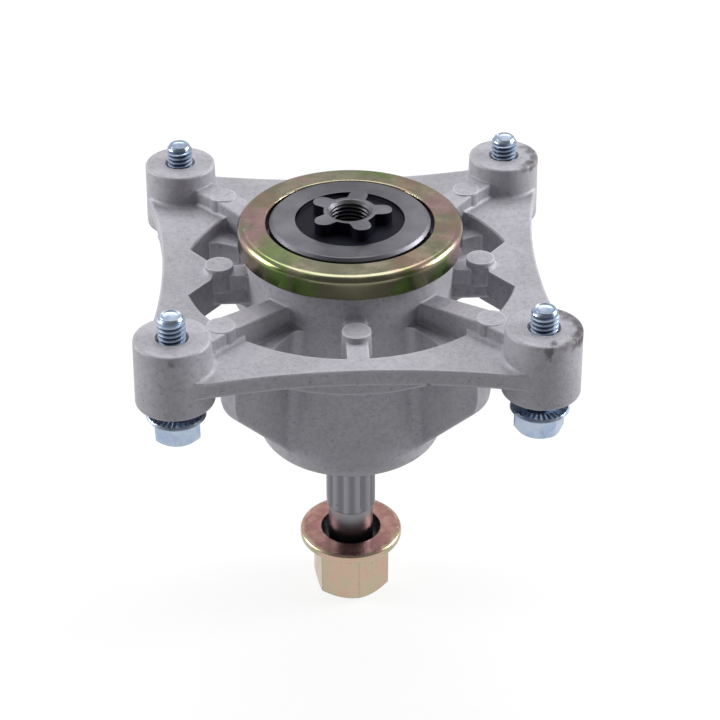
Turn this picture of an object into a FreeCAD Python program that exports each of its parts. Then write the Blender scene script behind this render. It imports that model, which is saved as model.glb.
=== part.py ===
# Mower deck spindle: a cast aluminium housing that bolts under a mower deck, with a shaft on two
# sealed ball bearings. The blade end of the shaft points up (+Z). The deck lies on the plane z = 0,
# which is the lower face of the four bosses, and the shaft axis is the Z axis. Sizes are in mm.
import FreeCAD, Part
import math
import os

os.makedirs("parts", exist_ok=True)

V = FreeCAD.Vector
AXIS = V(0, 0, 1)
ORIGIN = V(0, 0, 0)

# How far a cutting tool runs past the face that it cuts, and how far a rib or a web runs into the hub
tool_past = 1.0
root_depth = 3.0

# Deck bosses, on a square
bolt_spacing = 103.2
boss_height = 20.9
boss_r = 11.35
boss_draft_deg = 1.1
boss_top_round = 0.9
boss_foot_round = 0.8
boss_mouth_r = 4.75
boss_mouth_depth = 1.2

# Square frame between the bosses, with a round rim under it
frame_drop = 9.9
frame_thickness = 4.8
frame_side_width = 6.6
frame_in_boss = 0.1
frame_edge_chamfer = 0.4
window_r = 49.7
window_edge_round = 0.5
rim_wall = 2.3
casting_fillet = 1.3

# Hub
hub_top_r = 31.2
hub_narrowing = 2.6
hub_depth = 48.1
hub_foot_round = 5.0
collar_step = 0.8
collar_height = 4.8
collar_foot = 0.3
edge_break = 0.5
counterbore_r = 25.2
foot_lip = 1.0
seat_lip_height = 4.0
seat_lip_width = 2.5
cavity_taper = 1.0
cavity_round = 1.5

# Ribs on the diagonals, and the deep gussets under them
rib_half = 3.8
rib_edge_round = 0.6
rib_hub_rise = 1.6
rib_boss_rise = 4.8
pad_past_window = 4.5
pad_proud = 0.15
gusset_half = 8.9
gusset_keel_half = 2.5
gusset_past_rim = 0.9
gusset_keel_lift = 6.6
gusset_keel_slope_deg = 46.5
gusset_shoulder_round = 14.5
gusset_keel_round_share = 0.8
gusset_keel_trim = 0.15
gusset_hub_fillet = 3.0
# Shares of the way from the hub to the gusset's end, of its half width, and of its keel's half width
gusset_stations = [(-0.19, 0.63, 0.60), (0.06, 0.73, 0.60), (0.345, 0.865, 0.64), (0.615, 1.0, 0.76),
                   (0.80, 0.965, 0.88), (0.92, 0.72, 0.96), (1.045, 0.45, 1.0)]
# Ledge of the gusset: how far inside the window's edge it starts, bends and ends, and its half widths
ledge_start = 10.2
ledge_start_half = 8.1
ledge_bend = 3.2
ledge_bend_half = 10.5
ledge_bend_round = 3.0
ledge_end = 1.1
ledge_end_half = 12.8

# Webs on the X and Y axes, with a round moulding post on each
web_half = 3.1
web_foot_half = 4.2
web_depth = 4.7
web_foot_height = 1.0
web_foot_round = 0.8
web_top_fillet = 1.5
web_foot_fillet = 4.5
post_circle_r = 39.2
post_r = 4.2
post_rise = 2.4
post_depth = 5.3
post_draft = 0.3
post_fillet = 1.0
web_ramp_rise = 0.5
web_ramp_short = 1.7
tab_half = 13.0
tab_neck_half = 1.6

# Bearings: bore, outside, width, ball, and how many balls
upper_bore_d = 20.0
upper_outside_d = 47.0
upper_width = 14.0
upper_ball_d = 7.94
lower_bore_d = 17.0
lower_outside_d = 40.0
lower_width = 12.0
lower_ball_d = 6.75
ball_count = 8
ball_play = 0.04
shoulder_share = 0.30
seal_thickness = 1.0
seal_inset = 0.25
seal_recess = 0.9
seal_lip_play = 0.15
cage_wall = 1.8
cage_edge = 0.6
pocket_play = 0.1
ring_round = 0.6
land_round = 0.2

# Shaft
head_r = 23.95
head_thickness = 5.5
head_clear_of_bearing = 1.5
head_edge_chamfer = 0.9
head_recess_r = 16.2
head_recess_depth = 1.15
head_foot_round = 0.8
recess_round = 0.4
journal_round = 0.5
shaft_end_round = 0.8
shaft_shoulder_r = 13.0
star_height = 2.8
star_lobes = 5
star_tip_r = 12.5
star_lobe_half = 2.8
star_valley_r = 7.8
star_root_round = 1.0
blade_thread_r = 5.75
blade_thread_mouth_r = 6.7
blade_thread_depth = 26.0
drill_point_deg = 118.0
seat_relief = 1.0
spline_r = 7.9375
spline_teeth = 12
spline_flute_r = 2.3
spline_flute_depth = 0.72
spline_length = 28.0
journal_run_out = 0.8
spline_end_chamfer = 0.6
neck_r = 7.14

# Spacer between the bearings
spacer_r = 12.7
spacer_play = 0.1

# Dust shield
shield_metal = 1.5
shield_edge_round = 2.2
shield_inner_round = 0.6
shield_skirt_round = 0.4
shield_gap = 0.95
shield_skirt = 7.4

# Nut on the pulley end
pulley_room = 39.5
nut_height = 21.8
nut_flange_r = 16.45
nut_flange_rim = 2.7
nut_flange_rim_round = 1.4
nut_flange_top_round = 1.0
nut_flange_cone = 3.8
nut_across_flats = 22.2
nut_corner_chamfer_r = 10.7
nut_corner_chamfer = 1.5
nut_recess_r = 9.7
nut_recess_depth = 4.5
nut_turn_deg = -80.5
nut_past_shaft = 1.2
thread_play = 0.05

# Deck screws
screw_length = 31.75
screw_r = 3.97
screw_tip_r = 2.8
screw_tip_taper = 2.0
screw_deck_room = 3.85
screw_flange_r = 8.55
screw_flange_rim = 0.7
screw_flange_cone = 1.1
screw_edge_round = 0.2
screw_tip_round = 0.4
screw_head_height = 8.2
screw_across_flats = 12.7
screw_corner_chamfer = 0.9
screw_corner_inset = 0.3
screw_turns_deg = {"front_left": -84.7, "front_right": -58.0, "rear_left": 12.0, "rear_right": 35.0}

# Heights that follow from the sizes above
boss_top_z = boss_height
frame_top_z = boss_top_z - frame_drop
frame_foot_z = frame_top_z - frame_thickness
hub_foot_z = -hub_depth
hub_taper = hub_narrowing / (hub_depth + boss_height - collar_foot)
upper_bearing_top_z = boss_top_z
upper_bearing_foot_z = upper_bearing_top_z - upper_width
lower_bearing_foot_z = hub_foot_z + foot_lip
lower_bearing_top_z = lower_bearing_foot_z + lower_width
hub_top_z = upper_bearing_top_z + collar_height
shield_top_z = hub_top_z + shield_metal
head_foot_z = upper_bearing_top_z + head_clear_of_bearing
head_top_z = head_foot_z + head_thickness
star_top_z = head_top_z + star_height
spline_top_z = lower_bearing_foot_z - 2 * journal_run_out
spline_end_z = spline_top_z - spline_length
nut_top_z = lower_bearing_foot_z - pulley_room
nut_foot_z = nut_top_z - nut_height
shaft_foot_z = nut_foot_z + nut_past_shaft
post_top_z = frame_top_z + post_rise
rib_top_z = frame_top_z + rib_boss_rise
keel_foot_z = hub_foot_z + gusset_keel_lift

# Distances from the axis that follow from the hub and from the round opening of the frame
hub_foot_r = hub_top_r - hub_narrowing
collar_r = hub_top_r + collar_step
shield_r = collar_r + shield_metal
rim_outer_r = window_r + rim_wall
frame_waist = window_r + frame_side_width
pad_circle_r = window_r + pad_past_window
gusset_end_r = rim_outer_r + gusset_past_rim
web_ramp_foot_r = window_r - web_ramp_short
hexagon_corner_share = 1 / math.cos(math.pi / 6)


def on_plan(z):
    """Places a flat outline in the level plane at height z."""
    return lambda a, b: V(a, b, z)


def on_section(azimuth_deg):
    """Places an outline of radius and height in the upright plane at this azimuth."""
    angle = math.radians(azimuth_deg)
    return lambda r, z: V(r * math.cos(angle), r * math.sin(angle), z)


def rounded_wire(corners, place):
    """Closed wire through corners (a, b, radius), with a tangent arc at each rounded corner."""
    ends = []
    count = len(corners)
    for index, (a, b, radius) in enumerate(corners):
        before = corners[index - 1]
        after = corners[(index + 1) % count]
        corner = V(a, b, 0)
        back = (V(before[0], before[1], 0) - corner).normalize()
        onward = (V(after[0], after[1], 0) - corner).normalize()
        if radius <= 0:
            ends.append((corner, None, corner))
            continue
        half_angle = back.getAngle(onward) / 2
        reach = radius / math.tan(half_angle)
        bisector = (back + onward).normalize()
        middle = corner + bisector * (radius / math.sin(half_angle) - radius)
        ends.append((corner + back * reach, middle, corner + onward * reach))
    edges = []
    for index, (start, middle, end) in enumerate(ends):
        if middle is not None:
            edges.append(Part.Arc(*[place(p.x, p.y) for p in (start, middle, end)]).toShape())
        next_start = ends[(index + 1) % count][0]
        if (next_start - end).Length > 1e-6:
            edges.append(Part.LineSegment(place(end.x, end.y), place(next_start.x, next_start.y)).toShape())
    return Part.Wire(edges)


def turned(corners):
    """Solid of revolution about the shaft axis, from corners (radius, height, round)."""
    section = Part.Face(rounded_wire(corners, on_section(0)))
    return section.revolve(ORIGIN, AXIS, 360)


def ring(inner_r, outer_r, foot_z, top_z):
    """Plain ring about the shaft axis."""
    return turned([(inner_r, foot_z, 0), (outer_r, foot_z, 0), (outer_r, top_z, 0), (inner_r, top_z, 0)])


def turned_copies(shape, count, first_deg=0.0):
    """Copies of a shape at equal steps about the shaft axis."""
    copies = []
    for index in range(count):
        copy = shape.copy()
        copy.rotate(ORIGIN, AXIS, first_deg + index * 360.0 / count)
        copies.append(copy)
    return copies


def hexagon(across_flats, foot_z, height, turn_deg):
    """Upright hexagonal bar with one corner at azimuth turn_deg."""
    corner_r = hexagon_corner_share * across_flats / 2
    points = []
    for index in range(7):
        angle = math.radians(turn_deg + index * 60)
        points.append(V(corner_r * math.cos(angle), corner_r * math.sin(angle), foot_z))
    return Part.Face(Part.makePolygon(points)).extrude(V(0, 0, height))


def boss_places():
    """Names and centres of the four bosses."""
    half = bolt_spacing / 2
    return {"front_left": V(-half, -half, 0), "front_right": V(half, -half, 0),
            "rear_left": V(-half, half, 0), "rear_right": V(half, half, 0)}


def boss_r_at(z):
    """Radius of a boss at height z: it is widest at its foot, on the deck."""
    return boss_r - z * math.tan(math.radians(boss_draft_deg))


def boss():
    """One boss about the origin."""
    return turned([(0, 0, 0), (boss_r, 0, boss_foot_round),
                   (boss_r_at(boss_top_z), boss_top_z, boss_top_round), (0, boss_top_z, 0)])


def hollow_corner(x, y, radius, away):
    """Outline that fills the corner of two walls, x and y, with a hollow fillet that opens to +y and
    to the side of x named by away (+1 or -1). It runs a little way into both walls."""
    return [(x + away * radius, y - radius / 2, 0), (x - away * radius, y - radius / 2, 0),
            (x - away * radius, y + radius, 0), (x, y + radius, 0), (x, y, radius),
            (x + away * radius, y, 0)]


def both_sides(shape):
    """A shape and its mirror image across the plane y = 0."""
    return [shape, shape.mirror(ORIGIN, V(0, 1, 0))]


def side_arc():
    """Distance from the axis to the centre of a hollow side's arc, and the radius of that arc, which
    touches the circles of two bosses just under their skin."""
    half = bolt_spacing / 2
    touch_r = boss_r_at(frame_top_z) - frame_in_boss
    past_row = frame_waist - half
    arc_r = (half ** 2 + past_row ** 2 - touch_r ** 2) / (2 * (touch_r - past_row))
    return arc_r + frame_waist, arc_r


def frame_blank(height):
    """Frame before its hollow sides are cut, with its corners where the sides touch the bosses."""
    half = bolt_spacing / 2
    centre_r, arc_r = side_arc()
    share = arc_r / math.hypot(half, centre_r - half)
    x = half * share
    y = centre_r - (centre_r - half) * share
    points = [V(-x, -y, 0), V(x, -y, 0), V(y, -x, 0), V(y, x, 0), V(x, y, 0), V(-x, y, 0), V(-y, x, 0),
              V(-y, -x, 0), V(-x, -y, 0)]
    blank = Part.Face(Part.makePolygon(points)).extrude(V(0, 0, height))
    blank.translate(V(0, 0, frame_foot_z))
    return blank


def frame_plate():
    """Frame with a round opening and a round rim under it. The four ribs and webs cross the opening."""
    plate = frame_blank(frame_thickness)
    centre_r, arc_r = side_arc()
    low_z = frame_foot_z - tool_past
    high_z = frame_top_z + tool_past
    wide_r = arc_r + frame_edge_chamfer + tool_past
    cutter = turned([(0, low_z, 0), (arc_r, low_z, 0), (arc_r, frame_top_z - frame_edge_chamfer, 0),
                     (wide_r, high_z, 0), (0, high_z, 0)])
    cutter.translate(V(0, -centre_r, 0))
    plate = plate.cut(turned_copies(cutter, 4))
    rim = Part.makeCylinder(rim_outer_r, frame_foot_z + frame_thickness / 2)
    opening = turned([(0, -tool_past, 0), (window_r, -tool_past, 0),
                      (window_r, frame_top_z - window_edge_round, 0),
                      (window_r + window_edge_round, frame_top_z, 0), (window_r, high_z, 0), (0, high_z, 0)])
    return plate.fuse(rim).cut(opening)


def boss_flare():
    """Hollow fillet round the foot of a boss about the origin, where it stands on the frame."""
    top_z = frame_top_z + casting_fillet
    wall_r = boss_r_at(top_z)
    edge_r = wall_r + casting_fillet
    return turned([(0, frame_foot_z, 0), (edge_r, frame_foot_z, 0), (edge_r, frame_top_z, 0),
                   (wall_r, frame_top_z, casting_fillet), (wall_r, top_z, 0), (0, top_z, 0)])


def rib_flare():
    """Hollow fillets along both feet of a rib, along +X, on the frame and round the window corners."""
    edge_y = rib_half + casting_fillet
    top_z = frame_top_z + casting_fillet
    section = rounded_wire([(-edge_y, frame_foot_z, 0), (edge_y, frame_foot_z, 0), (edge_y, frame_top_z, 0),
                            (rib_half, frame_top_z, casting_fillet), (rib_half, top_z, 0),
                            (-rib_half, top_z, 0), (-rib_half, frame_top_z, casting_fillet),
                            (-edge_y, frame_top_z, 0)], lambda y, z: V(0, y, z))
    rim_x = math.sqrt(window_r ** 2 - edge_y ** 2)
    start_x = rim_x - casting_fillet
    bar = Part.Face(section).extrude(V(bolt_spacing / math.sqrt(2) - start_x, 0, 0))
    bar.translate(V(start_x, 0, 0))
    outline = hollow_corner(rim_x, rib_half, casting_fillet, -1)
    corner = Part.Face(rounded_wire(outline, on_plan(frame_foot_z)))
    corners = both_sides(corner.extrude(V(0, 0, top_z - frame_foot_z)))
    on_frame = bar.cut(Part.makeCylinder(window_r, top_z))
    return on_frame.fuse([bar.common(piece) for piece in corners])


def is_rib_top_edge(edge):
    """True for the edges along both sides of a rib's ramp and level end, before the rib is turned."""
    start, end = [vertex.Point for vertex in edge.Vertexes]
    along = abs(start.x - end.x) > rib_half
    return along and min(start.z, end.z) > frame_top_z


def diagonal_rib():
    """Rib from the hub to one boss, along +X before it is turned: a ramp, a level end and a round pad."""
    inner_r = hub_foot_r - root_depth
    outer_r = bolt_spacing / math.sqrt(2) - boss_r + root_depth
    side = Part.makePolygon([V(inner_r, -rib_half, frame_foot_z), V(outer_r, -rib_half, frame_foot_z),
                             V(outer_r, -rib_half, rib_top_z), V(rim_outer_r, -rib_half, rib_top_z),
                             V(hub_top_r, -rib_half, frame_top_z + rib_hub_rise),
                             V(inner_r, -rib_half, frame_top_z + rib_hub_rise),
                             V(inner_r, -rib_half, frame_foot_z)])
    rib = Part.Face(side).extrude(V(0, 2 * rib_half, 0))
    rib = rib.makeFillet(rib_edge_round, [edge for edge in rib.Edges if is_rib_top_edge(edge)])
    pad = Part.makeCylinder(post_r, rib_top_z + pad_proud - frame_foot_z, V(pad_circle_r, 0, frame_foot_z))
    return rib.fuse(pad)


def gusset():
    """Deep keel under the rib, along +X before it is turned: slanted sides, a round lower edge that
    climbs away from the hub, and a round shoulder where it meets its upright end."""
    slope = math.tan(math.radians(gusset_keel_slope_deg))
    sections = []
    for way_share, top_share, keel_share in gusset_stations:
        r = hub_foot_r + way_share * (gusset_end_r - hub_foot_r)
        top_half = top_share * gusset_half
        keel_half = keel_share * gusset_keel_half
        keel_z = keel_foot_z + (r - hub_foot_r) * slope
        keel_round = keel_half * gusset_keel_round_share
        corners = [(-top_half, frame_foot_z, 0), (-keel_half, keel_z, keel_round),
                   (keel_half, keel_z, keel_round), (top_half, frame_foot_z, 0)]
        sections.append(rounded_wire(corners, lambda y, z, r=r: V(r, y, z)))
    block = Part.makeLoft(sections, True, False)
    inner_r = hub_foot_r / 2
    clear_z = keel_foot_z - gusset_keel_trim
    side = rounded_wire([(inner_r, frame_foot_z, 0), (gusset_end_r, frame_foot_z, 0),
                         (gusset_end_r, clear_z + (gusset_end_r - hub_foot_r) * slope, gusset_shoulder_round),
                         (inner_r, clear_z + (inner_r - hub_foot_r) * slope, 0)], on_section(0))
    face = Part.Face(side)
    face.translate(V(0, -hub_foot_r, 0))
    return block.common(face.extrude(V(0, 2 * hub_foot_r, 0)))


def ledge_flare():
    """Level widening of the gusset's top where it runs into the inside of the rim, along +X."""
    outline = [(window_r - ledge_start, ledge_start_half, 0),
               (window_r - ledge_bend, ledge_bend_half, ledge_bend_round),
               (window_r - ledge_end, ledge_end_half, 0), (rim_outer_r, ledge_end_half, 0)]
    mirrored = [(r, -half, radius) for r, half, radius in reversed(outline)]
    wedge = Part.Face(rounded_wire(outline + mirrored, on_plan(0))).extrude(V(0, 0, frame_foot_z))
    return wedge.common(Part.makeCylinder((window_r + rim_outer_r) / 2, frame_foot_z))


def hub_r_at(z):
    """Outside radius of the hub at height z."""
    return hub_foot_r + hub_taper * (z - hub_foot_z)


def axis_web(with_tab):
    """Web from the hub to the rim along +X, with its post and, where asked, a wedge-shaped tab."""
    inner_r = hub_foot_r - root_depth
    outer_r = (window_r + rim_outer_r) / 2
    foot_z = frame_foot_z - web_depth
    half_section = [(web_foot_half, foot_z, web_foot_round), (web_foot_half, foot_z + web_foot_height, 0),
                    (web_half, frame_foot_z, 0), (web_half, frame_top_z, 0)]
    mirrored = [(-y, z, radius) for y, z, radius in reversed(half_section)]
    section = rounded_wire(half_section + mirrored, lambda y, z: V(inner_r, y, z))
    web = Part.Face(section).extrude(V(outer_r - inner_r, 0, 0))
    post_foot_z = frame_top_z - post_depth
    post = Part.makeCone(post_r + post_draft, post_r, post_top_z - post_foot_z,
                         V(post_circle_r, 0, post_foot_z))
    hub_x = hub_r_at(frame_top_z)
    top = Part.Face(rounded_wire(hollow_corner(hub_x, frame_top_z, web_top_fillet, 1),
                                 lambda x, z: V(x, -web_half, z))).extrude(V(0, 2 * web_half, 0))
    under_half = web_foot_half - web_foot_round
    under = Part.Face(rounded_wire(hollow_corner(hub_r_at(foot_z), -foot_z, web_foot_fillet, 1),
                                   lambda x, z: V(x, -under_half, -z))).extrude(V(0, 2 * under_half, 0))
    corner_x = math.sqrt(hub_x ** 2 - (web_half + casting_fillet) ** 2)
    outline = hollow_corner(corner_x, web_half, casting_fillet, 1)
    corner = Part.Face(rounded_wire(outline, on_plan(frame_foot_z)))
    corners = both_sides(corner.extrude(V(0, 0, frame_thickness)))
    shape = web.fuse([post, top, under] + corners)
    if with_tab:
        edge_x = math.sqrt(window_r ** 2 - tab_half ** 2)
        slope = (tab_half - tab_neck_half) / (edge_x - post_circle_r)
        deep_x = edge_x + root_depth
        deep_half = tab_half + root_depth * slope
        tab = Part.Face(Part.makePolygon([V(post_circle_r, -tab_neck_half, 0), V(deep_x, -deep_half, 0),
                                          V(deep_x, deep_half, 0), V(post_circle_r, tab_neck_half, 0),
                                          V(post_circle_r, -tab_neck_half, 0)]))
        wedge = tab.extrude(V(0, 0, frame_top_z))
        wedge = wedge.common(Part.makeCylinder(outer_r, frame_top_z))
        wall_r = post_r + post_draft
        edge_r = wall_r + post_fillet
        top_z = frame_top_z + post_fillet
        flare = turned([(0, frame_foot_z, 0), (edge_r, frame_foot_z, 0), (edge_r, frame_top_z, 0),
                        (wall_r, frame_top_z, post_fillet), (wall_r, top_z, 0), (0, top_z, 0)])
        flare.translate(V(post_circle_r, 0, 0))
        over_tab = tab.extrude(V(0, 0, boss_height))
        return shape.fuse([wedge, flare.common(over_tab)])
    ramp = Part.Face(Part.makePolygon([V(post_circle_r, -web_half, frame_foot_z),
                                       V(web_ramp_foot_r, -web_half, frame_foot_z),
                                       V(web_ramp_foot_r, -web_half, frame_top_z),
                                       V(post_circle_r + post_r, -web_half, frame_top_z + web_ramp_rise),
                                       V(post_circle_r, -web_half, frame_top_z + web_ramp_rise),
                                       V(post_circle_r, -web_half, frame_foot_z)]))
    return shape.fuse(ramp.extrude(V(0, 2 * web_half, 0)))


def is_hub_corner(edge):
    """True for the upright edges where a gusset leaves the hub."""
    middle = edge.valueAt((edge.FirstParameter + edge.LastParameter) / 2)
    on_hub = abs(math.hypot(middle.x, middle.y) - hub_r_at(middle.z)) < hub_foot_r / 20
    near_diagonal = abs(abs(middle.x) - abs(middle.y)) < hub_foot_r / 2
    return on_hub and near_diagonal and edge.BoundBox.ZLength > hub_depth / 2


def hub_core():
    """Outside of the hub as a solid, with the collar that the dust shield is pressed on."""
    collar_z = boss_top_z - collar_foot
    return turned([(0, hub_foot_z, 0), (hub_foot_r, hub_foot_z, hub_foot_round),
                   (hub_top_r, collar_z, 0), (collar_r, collar_z, 0), (collar_r, hub_top_z, edge_break),
                   (0, hub_top_z, 0)])


def hub_bore():
    """What is cut out of the hub: both bearing seats and the cavity between them."""
    upper_r = upper_outside_d / 2
    lower_r = lower_outside_d / 2
    ledge_r = upper_r - seat_lip_width
    lip_r = lower_r - seat_lip_width
    lip_top_z = lower_bearing_top_z + seat_lip_height
    low_z = hub_foot_z - tool_past
    high_z = hub_top_z + tool_past
    return turned([(0, low_z, 0), (lower_r, low_z, 0), (lower_r, lower_bearing_top_z, 0),
                   (lip_r, lower_bearing_top_z, 0), (lip_r, lip_top_z, 0),
                   (ledge_r - cavity_taper, lip_top_z, cavity_round), (ledge_r, upper_bearing_foot_z, 0),
                   (upper_r, upper_bearing_foot_z, 0), (upper_r, upper_bearing_top_z, 0),
                   (counterbore_r, upper_bearing_top_z, 0), (counterbore_r, high_z, 0), (0, high_z, 0)])


def mandrel_housing():
    """The casting: hub, frame, rim, ribs, gussets, webs and bosses as one piece."""
    core = hub_core().fuse(turned_copies(gusset(), 4, 45))
    core = core.makeFillet(gusset_hub_fillet, [edge for edge in core.Edges if is_hub_corner(edge)])
    centre_r, arc_r = side_arc()
    beside_frame = turned_copies(Part.makeCylinder(arc_r + frame_edge_chamfer, boss_height,
                                                   V(0, -centre_r, 0)), 4)
    pieces = [frame_plate()]
    pieces += turned_copies(diagonal_rib(), 4, 45)
    pieces += turned_copies(rib_flare(), 4, 45)
    pieces += turned_copies(ledge_flare(), 4, 45)
    pieces += turned_copies(axis_web(True), 2, 0)
    pieces += turned_copies(axis_web(False), 2, 90)
    for centre in boss_places().values():
        casting_boss = boss()
        casting_boss.translate(centre)
        flare = boss_flare()
        flare.translate(centre)
        flare = flare.common(frame_blank(frame_thickness + casting_fillet)).cut(beside_frame)
        pieces += [casting_boss, flare]
    body = core.fuse(pieces).cut(hub_bore())
    for centre in boss_places().values():
        hole = Part.makeCylinder(screw_r + thread_play, boss_height + 2 * tool_past,
                                 centre - V(0, 0, tool_past))
        mouth = Part.makeCone(screw_r + thread_play, boss_mouth_r, boss_mouth_depth,
                              centre + V(0, 0, boss_top_z - boss_mouth_depth))
        body = body.cut([hole, mouth])
    return body.removeSplitter()


def dust_shield():
    """Pressed steel ring over the end of the hub: a flat top with a skirt turned down outside."""
    skirt_foot_z = shield_top_z - shield_skirt
    inner_r = head_r + shield_gap
    return turned([(inner_r, hub_top_z, 0), (collar_r, hub_top_z, 0),
                   (collar_r, skirt_foot_z, shield_skirt_round), (shield_r, skirt_foot_z, shield_skirt_round),
                   (shield_r, shield_top_z, shield_edge_round), (inner_r, shield_top_z, shield_inner_round)])


def star():
    """Five-lobed drive that the blade's centre hole fits over, as a bar about the axis."""
    lobe_centre_r = star_tip_r - star_lobe_half
    foot_z = head_top_z - head_recess_depth
    height = star_top_z - foot_z
    arm = Part.makeBox(lobe_centre_r, 2 * star_lobe_half, height, V(0, -star_lobe_half, foot_z))
    tip = Part.makeCylinder(star_lobe_half, height, V(lobe_centre_r, 0, foot_z))
    core = Part.makeCylinder(star_valley_r, height, V(0, 0, foot_z))
    lobe = arm.fuse(tip)
    shape = core.fuse(turned_copies(lobe, star_lobes)).removeSplitter()
    roots = [edge for edge in shape.Edges if is_star_root(edge)]
    return shape.makeFillet(star_root_round, roots)


def is_star_root(edge):
    """True for the upright edges where a lobe leaves the core of the star."""
    if len(edge.Vertexes) < 2 or edge.Curve.TypeId != "Part::GeomLine":
        return False
    start, end = [vertex.Point for vertex in edge.Vertexes]
    upright = abs(start.x - end.x) < 1e-4 and abs(start.y - end.y) < 1e-4
    return upright and abs(math.hypot(start.x, start.y) - star_valley_r) < star_lobe_half / 10


def splined_bar():
    """Pulley end of the shaft: twelve shallow round flutes along a ground bar."""
    top_z = lower_bearing_foot_z - journal_run_out
    bar = turned([(0, spline_end_z, 0), (neck_r, spline_end_z, 0),
                  (spline_r, spline_end_z + spline_end_chamfer, 0), (spline_r, top_z, 0), (0, top_z, 0)])
    flute_axis_r = spline_r + spline_flute_r - spline_flute_depth
    flute = Part.makeCylinder(spline_flute_r, spline_length + tool_past,
                              V(flute_axis_r, 0, spline_end_z - tool_past))
    flute = flute.fuse(Part.makeSphere(spline_flute_r, V(flute_axis_r, 0, spline_top_z)))
    return bar.cut(turned_copies(flute, spline_teeth, -90))


def spindle_shaft():
    """Forged shaft: blade flange with its star, bearing journals, spline and threaded end."""
    recess_floor_z = head_top_z - head_recess_depth
    upper_r = upper_bore_d / 2
    lower_r = lower_bore_d / 2
    step_z = upper_bearing_foot_z + seat_relief
    journal_end_z = lower_bearing_foot_z - journal_run_out
    body = turned([(0, journal_end_z, 0), (lower_r, journal_end_z, journal_round), (lower_r, step_z, 0),
                   (upper_r, step_z, journal_round), (upper_r, upper_bearing_top_z, 0),
                   (shaft_shoulder_r, upper_bearing_top_z, 0), (shaft_shoulder_r, head_foot_z, 0),
                   (head_r, head_foot_z, head_foot_round), (head_r, head_top_z - head_edge_chamfer, 0),
                   (head_r - head_edge_chamfer, head_top_z, 0), (head_recess_r, head_top_z, 0),
                   (head_recess_r, recess_floor_z, recess_round), (0, recess_floor_z, 0)])
    neck = turned([(0, shaft_foot_z, 0), (neck_r, shaft_foot_z, shaft_end_round), (neck_r, spline_end_z, 0),
                   (0, spline_end_z, 0)])
    mouth_depth = blade_thread_mouth_r - blade_thread_r
    point_depth = blade_thread_r / math.tan(math.radians(drill_point_deg / 2))
    blade_hole = Part.makeCylinder(blade_thread_r, blade_thread_depth,
                                   V(0, 0, star_top_z - blade_thread_depth))
    drill_point = Part.makeCone(0, blade_thread_r, point_depth,
                                V(0, 0, star_top_z - blade_thread_depth - point_depth))
    mouth = Part.makeCone(blade_thread_r, blade_thread_mouth_r, mouth_depth,
                          V(0, 0, star_top_z - mouth_depth))
    return body.fuse([star(), splined_bar(), neck]).cut([blade_hole, drill_point, mouth]).removeSplitter()


def bearing(bore_d, outside_d, width, ball_d, foot_z):
    """Pieces of one sealed deep-groove ball bearing, by name, standing on foot_z."""
    centre_z = foot_z + width / 2
    top_z = foot_z + width
    pitch_r = (bore_d + outside_d) / 4
    inner_land_r = pitch_r - ball_d * shoulder_share
    outer_land_r = pitch_r + ball_d * shoulder_share
    seat_r = outer_land_r + seal_recess
    seal_depth = seal_inset + seal_thickness
    groove = Part.makeTorus(pitch_r, ball_d / 2 + ball_play, V(0, 0, centre_z), AXIS)
    inner = turned([(bore_d / 2, foot_z, ring_round), (inner_land_r, foot_z, land_round),
                    (inner_land_r, top_z, land_round), (bore_d / 2, top_z, ring_round)]).cut(groove)
    outer = turned([(outside_d / 2, foot_z, ring_round), (outside_d / 2, top_z, ring_round),
                    (seat_r, top_z, land_round), (seat_r, top_z - seal_depth, 0),
                    (outer_land_r, top_z - seal_depth, 0), (outer_land_r, foot_z + seal_depth, 0),
                    (seat_r, foot_z + seal_depth, 0), (seat_r, foot_z, land_round)]).cut(groove)
    ball = Part.makeSphere(ball_d / 2, V(pitch_r, 0, centre_z))
    balls = turned_copies(ball, ball_count)
    pocket = Part.makeCylinder(ball_d / 2 + pocket_play, 2 * cage_wall, V(pitch_r - cage_wall, 0, centre_z),
                               V(1, 0, 0))
    cage_half = ball_d / 2 + pocket_play + cage_edge
    cage = ring(pitch_r - cage_wall / 2, pitch_r + cage_wall / 2, centre_z - cage_half,
                centre_z + cage_half).cut(turned_copies(pocket, ball_count))
    lip_r = inner_land_r + seal_lip_play
    seal_top = ring(lip_r, seat_r, top_z - seal_depth, top_z - seal_inset)
    seal_foot = ring(lip_r, seat_r, foot_z + seal_inset, foot_z + seal_depth)
    return {"inner_ring": inner, "outer_ring": outer, "balls": Part.makeCompound(balls),
            "cage": cage, "seal_top": seal_top, "seal_bottom": seal_foot}


def bearing_spacer():
    """Steel tube that holds the two inner rings apart."""
    return ring(lower_bore_d / 2 + spacer_play, spacer_r, lower_bearing_top_z, upper_bearing_foot_z)


def hex_head(across_flats, foot_z, height, turn_deg, chamfer_r, chamfer):
    """Hexagon with its lower corners turned off at a slant."""
    corner_r = hexagon_corner_share * across_flats / 2
    blank = turned([(0, foot_z, 0), (chamfer_r, foot_z, 0), (corner_r, foot_z + chamfer, 0),
                    (corner_r, foot_z + height, 0), (0, foot_z + height, 0)])
    return hexagon(across_flats, foot_z, height, turn_deg).common(blank)


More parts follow.
